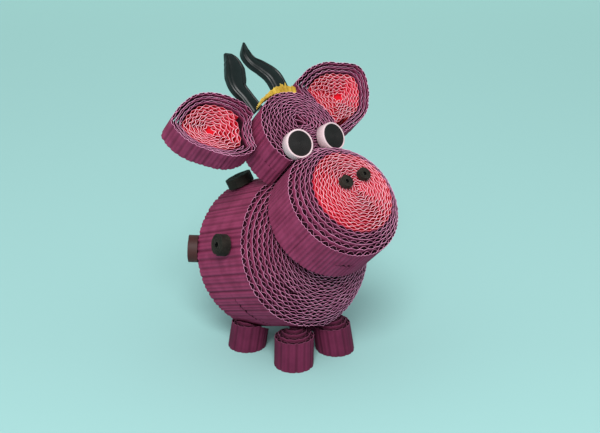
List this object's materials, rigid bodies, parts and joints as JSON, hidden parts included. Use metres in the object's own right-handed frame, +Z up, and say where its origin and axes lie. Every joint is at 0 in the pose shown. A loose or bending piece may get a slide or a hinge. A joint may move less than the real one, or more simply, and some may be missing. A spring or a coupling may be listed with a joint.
{
  "type": "quilled paper cow",
  "caption": "Standing cow figurine rolled from strips of corrugated paper: domed spiral coils make its body, head, muzzle, ears and feet.",
  "frame": {"origin": "on the ground under the middle of the figure's outline", "axes": "+Z up, the cow looks along -Y with its head tipped up, +X to the cow's left"},
  "size_m": [0.0916, 0.0793, 0.1099],
  "materials": {
    "purple_corrugated": "matte",
    "pink_corrugated": "matte",
    "black_paper": "satin",
    "white_paper": "matte",
    "yellow_paper": "matte"
  },
  "bodies": {
    "root": {"body_front_coil": "purple_corrugated", "body_rear_coil": "purple_corrugated", "head_front_coil": "purple_corrugated", "head_rear_coil": "purple_corrugated", "muzzle_front_coil": "purple_corrugated", "muzzle_rear_coil": "purple_corrugated", "ear_right_outer": "purple_corrugated", "ear_left_outer": "purple_corrugated", "foot_front_right": "purple_corrugated", "foot_front_left": "purple_corrugated", "foot_rear_right": "purple_corrugated", "foot_rear_left": "purple_corrugated", "muzzle_face_coil": "pink_corrugated", "ear_right_inner": "pink_corrugated", "ear_left_inner": "pink_corrugated", "horn_right": "black_paper", "horn_left": "black_paper", "pupil_right": "black_paper", "pupil_left": "black_paper", "nostril_right": "black_paper", "nostril_left": "black_paper", "spot_side": "black_paper", "spot_top": "black_paper", "spot_rear": "black_paper", "eye_right": "white_paper", "eye_left": "white_paper", "hair_tuft": "yellow_paper"}
  },
  "joints": []
}
